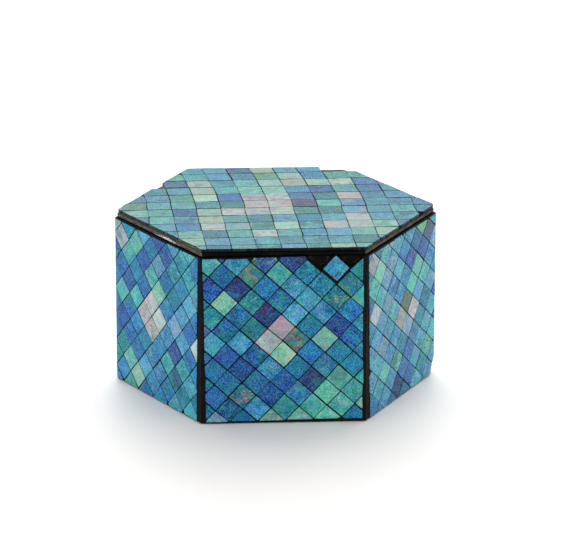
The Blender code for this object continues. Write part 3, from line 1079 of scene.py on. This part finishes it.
def lumpy_sheet(low, high, thickness, thin, seed):
    """Dried glue on the lid board, as a lumpy sheet that stays inside the board's edges."""
    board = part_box("lid_board")[1]
    ways = [heading(SIDE_STEP * n + HALF_STEP) for n in range(len(SIDES))]
    across = round((high[0] - low[0]) / PATCH_PIECE)
    back = round((high[1] - low[1]) / PATCH_PIECE)
    bm = bmesh.new()
    points = []
    for j in range(back + 1):
        for i in range(across + 1):
            at = Vector((low[0] + i * PATCH_PIECE, low[1] + j * PATCH_PIECE)) * MM
            inside = all(at.dot(way) < board.y - PATCH_MARGIN for way in ways)
            wave = 0.5 + 0.5 * noise.noise(Vector((at.x, at.y, seed)) / PATCH_LUMP)
            height = board.z + thickness * MM * (thin + (1 - thin) * wave)
            points.append((bm.verts.new((at.x, at.y, height)), inside))
    for j in range(back):
        for i in range(across):
            start = j * (across + 1) + i
            quad = [points[n] for n in (start, start + 1, start + across + 2, start + across + 1)]
            if all(inside for vert, inside in quad):
                bm.faces.new([vert for vert, inside in quad])
    bmesh.ops.delete(bm, geom=[vert for vert in bm.verts if not vert.link_faces], context="VERTS")
    return bm


def lost_patches():
    """The glue and grout that lost tiles left on the lid board, each with a skirt down into it."""
    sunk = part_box("lid_board")[1].z - PATCH_SINK
    for k, (low, high, thickness, thin, colour) in enumerate(LOST_PATCHES):
        bm = lumpy_sheet(low, high, thickness, thin, k)
        rim = [edge for edge in bm.edges if edge.is_boundary]
        for item in bmesh.ops.extrude_edge_only(bm, edges=rim)["geom"]:
            if isinstance(item, bmesh.types.BMVert):
                item.co.z = sunk
        name = f"lost_tile_bed_{k + 1}"
        mesh = bpy.data.meshes.new(name)
        bm.to_mesh(mesh)
        bm.free()
        dress(finish_object(name, mesh, dried_bed(name, colour)), "lid_mosaic")


def edge_profile(low, high):
    """The rounded edge of the lid board from below: how far in each point lies, and its height."""
    profile = []
    for step in range(ROUND_STEPS + 1):
        angle = math.pi / 2 * step / ROUND_STEPS
        rise = LID_EDGE_ROUND * (1 - math.cos(angle))
        profile.append((LID_EDGE_ROUND * (1 - math.sin(angle)), low + rise))
    return profile + [(inset, low + high - height) for inset, height in reversed(profile)]


def board_wear_and_sheen(side, share, wave):
    """How far the lid board's edge is greyed by rubbing and a painted sheen at a share of its
    thickness.
    """
    grey_from, grey_to = RUBBED_AND_SHEEN_BAND.get(side, WHOLE_BAND)
    greyed = BOARD_WEAR_AND_SHEEN[side] if grey_from <= share <= grey_to else 0.0
    return greyed * (WEAR_AND_SHEEN_LEVEL + WEAR_AND_SHEEN_STRAY * wave)


def board_scuff(point, share):
    """How far the lid board's edge is scuffed: near one place, most at its foot, not underneath."""
    if share <= 0:
        return 0.0
    away = (point / MM - Vector(SCUFF_PLACE)).length
    return (SCUFF_LOW - SCUFF_FADE * share) * math.exp(-(away / SCUFF_REACH) ** 2)


def lid_board(material):
    """The lid's board with rounded edges and corners."""
    low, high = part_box("lid_board")
    corners = [heading(SIDE_STEP * k) * high.x for k in range(len(SIDES))]
    edge = rounded_outline(corners, LID_CORNER_ROUND, LID_EDGE_PIECE)
    shape = Shape()
    rings = []
    for inset, height in edge_profile(low.z, high.z):
        share = (height - low.z) / (high.z - low.z)
        points = []
        wear_and_sheen = []
        scuffs = []
        for point, normal in edge:
            wave = noise.noise(Vector((point.x, point.y, height)) / LID_EDGE_WAVE)
            moved = point - normal * (inset + LID_EDGE_STRAY * (1 + wave))
            points.append((moved.x, moved.y, height))
            wear_and_sheen.append(board_wear_and_sheen(side_facing(normal.x, normal.y), share, wave))
            scuffs.append(board_scuff(point, share))
        rings.append(shape.ring(points, wear_and_sheen=wear_and_sheen, scuff=scuffs))
    shape.tube(rings)
    shape.cap(rings[0], up=False)
    shape.cap(rings[-1])
    dress(shape.make("lid_edge_board", Matrix.Identity(4), material), "lid_board")


def paint_boards(paint, glued):
    """Gives the boards that keep the model's shape their paint."""
    finishes = {side + "_wall": glued for side in SIDES}
    finishes.update(base_board=paint, lid_locating_board=paint)
    for node, finish in finishes.items():
        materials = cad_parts[node].data.materials
        materials.clear()
        materials.append(finish)


# The studio

def add_camera():
    aim = Matrix.Translation((0, 0, CAMERA_AIM_HEIGHT))
    around = Matrix.Rotation(-math.radians(CAMERA_AZIMUTH), 4, "Z")
    down = Matrix.Rotation(math.radians(90 - CAMERA_ELEVATION), 4, "X")
    roll = Matrix.Rotation(math.radians(CAMERA_ROLL), 4, "Z")
    data = bpy.data.cameras.new("camera")
    data.lens = LENS
    data.sensor_width = SENSOR
    data.clip_start, data.clip_end = CAMERA_RANGE
    camera = new_object("camera", data)
    camera.matrix_world = aim @ around @ down @ roll @ Matrix.Translation(CAMERA_PLACE)
    bpy.context.scene.camera = camera


def add_lights():
    world = bpy.data.worlds.new("studio")
    world.use_nodes = True
    sky = world.node_tree.nodes["Background"]
    sky.inputs["Color"].default_value = (1.0, 1.0, 1.0, 1.0)
    sky.inputs["Strength"].default_value = SURROUND
    bpy.context.scene.world = world
    for name, (place, size, power) in LIGHTS.items():
        data = bpy.data.lights.new(name, "AREA")
        data.shape = "SQUARE"
        data.size = size
        data.energy = power
        light = new_object(name, data)
        light.location = place
        aim = Vector(LIGHT_AIM) - Vector(place)
        light.rotation_euler = aim.to_track_quat("-Z", "Y").to_euler()
    bpy.context.scene.view_settings.view_transform = "Standard"


def add_floor(material):
    mesh = bpy.data.meshes.new("table")
    corners = [(x * FLOOR_HALF, y * FLOOR_HALF) for x, y in ((-1, -1), (1, -1), (1, 1), (-1, 1))]
    mesh.from_pydata([(x, y, FLOOR_LEVEL) for x, y in corners], [], [(0, 1, 2, 3)])
    mesh.materials.append(material)
    new_object("table", mesh)


glass_material = opal_glass()
grout_material = black_grout()
for side_index in range(len(SIDES)):
    coat_side(side_index, glass_material, grout_material)
coat_lid(glass_material, black_grout("edged_black_grout", worn_and_sheen=True))
lost_patches()
lid_board(black_paint("worn_sheen_black_paint", worn_and_sheen=True))
paint_boards(black_paint("black_paint"), black_paint("glued_black_paint", glued=True))
add_floor(pale_floor())
add_lights()
add_camera()
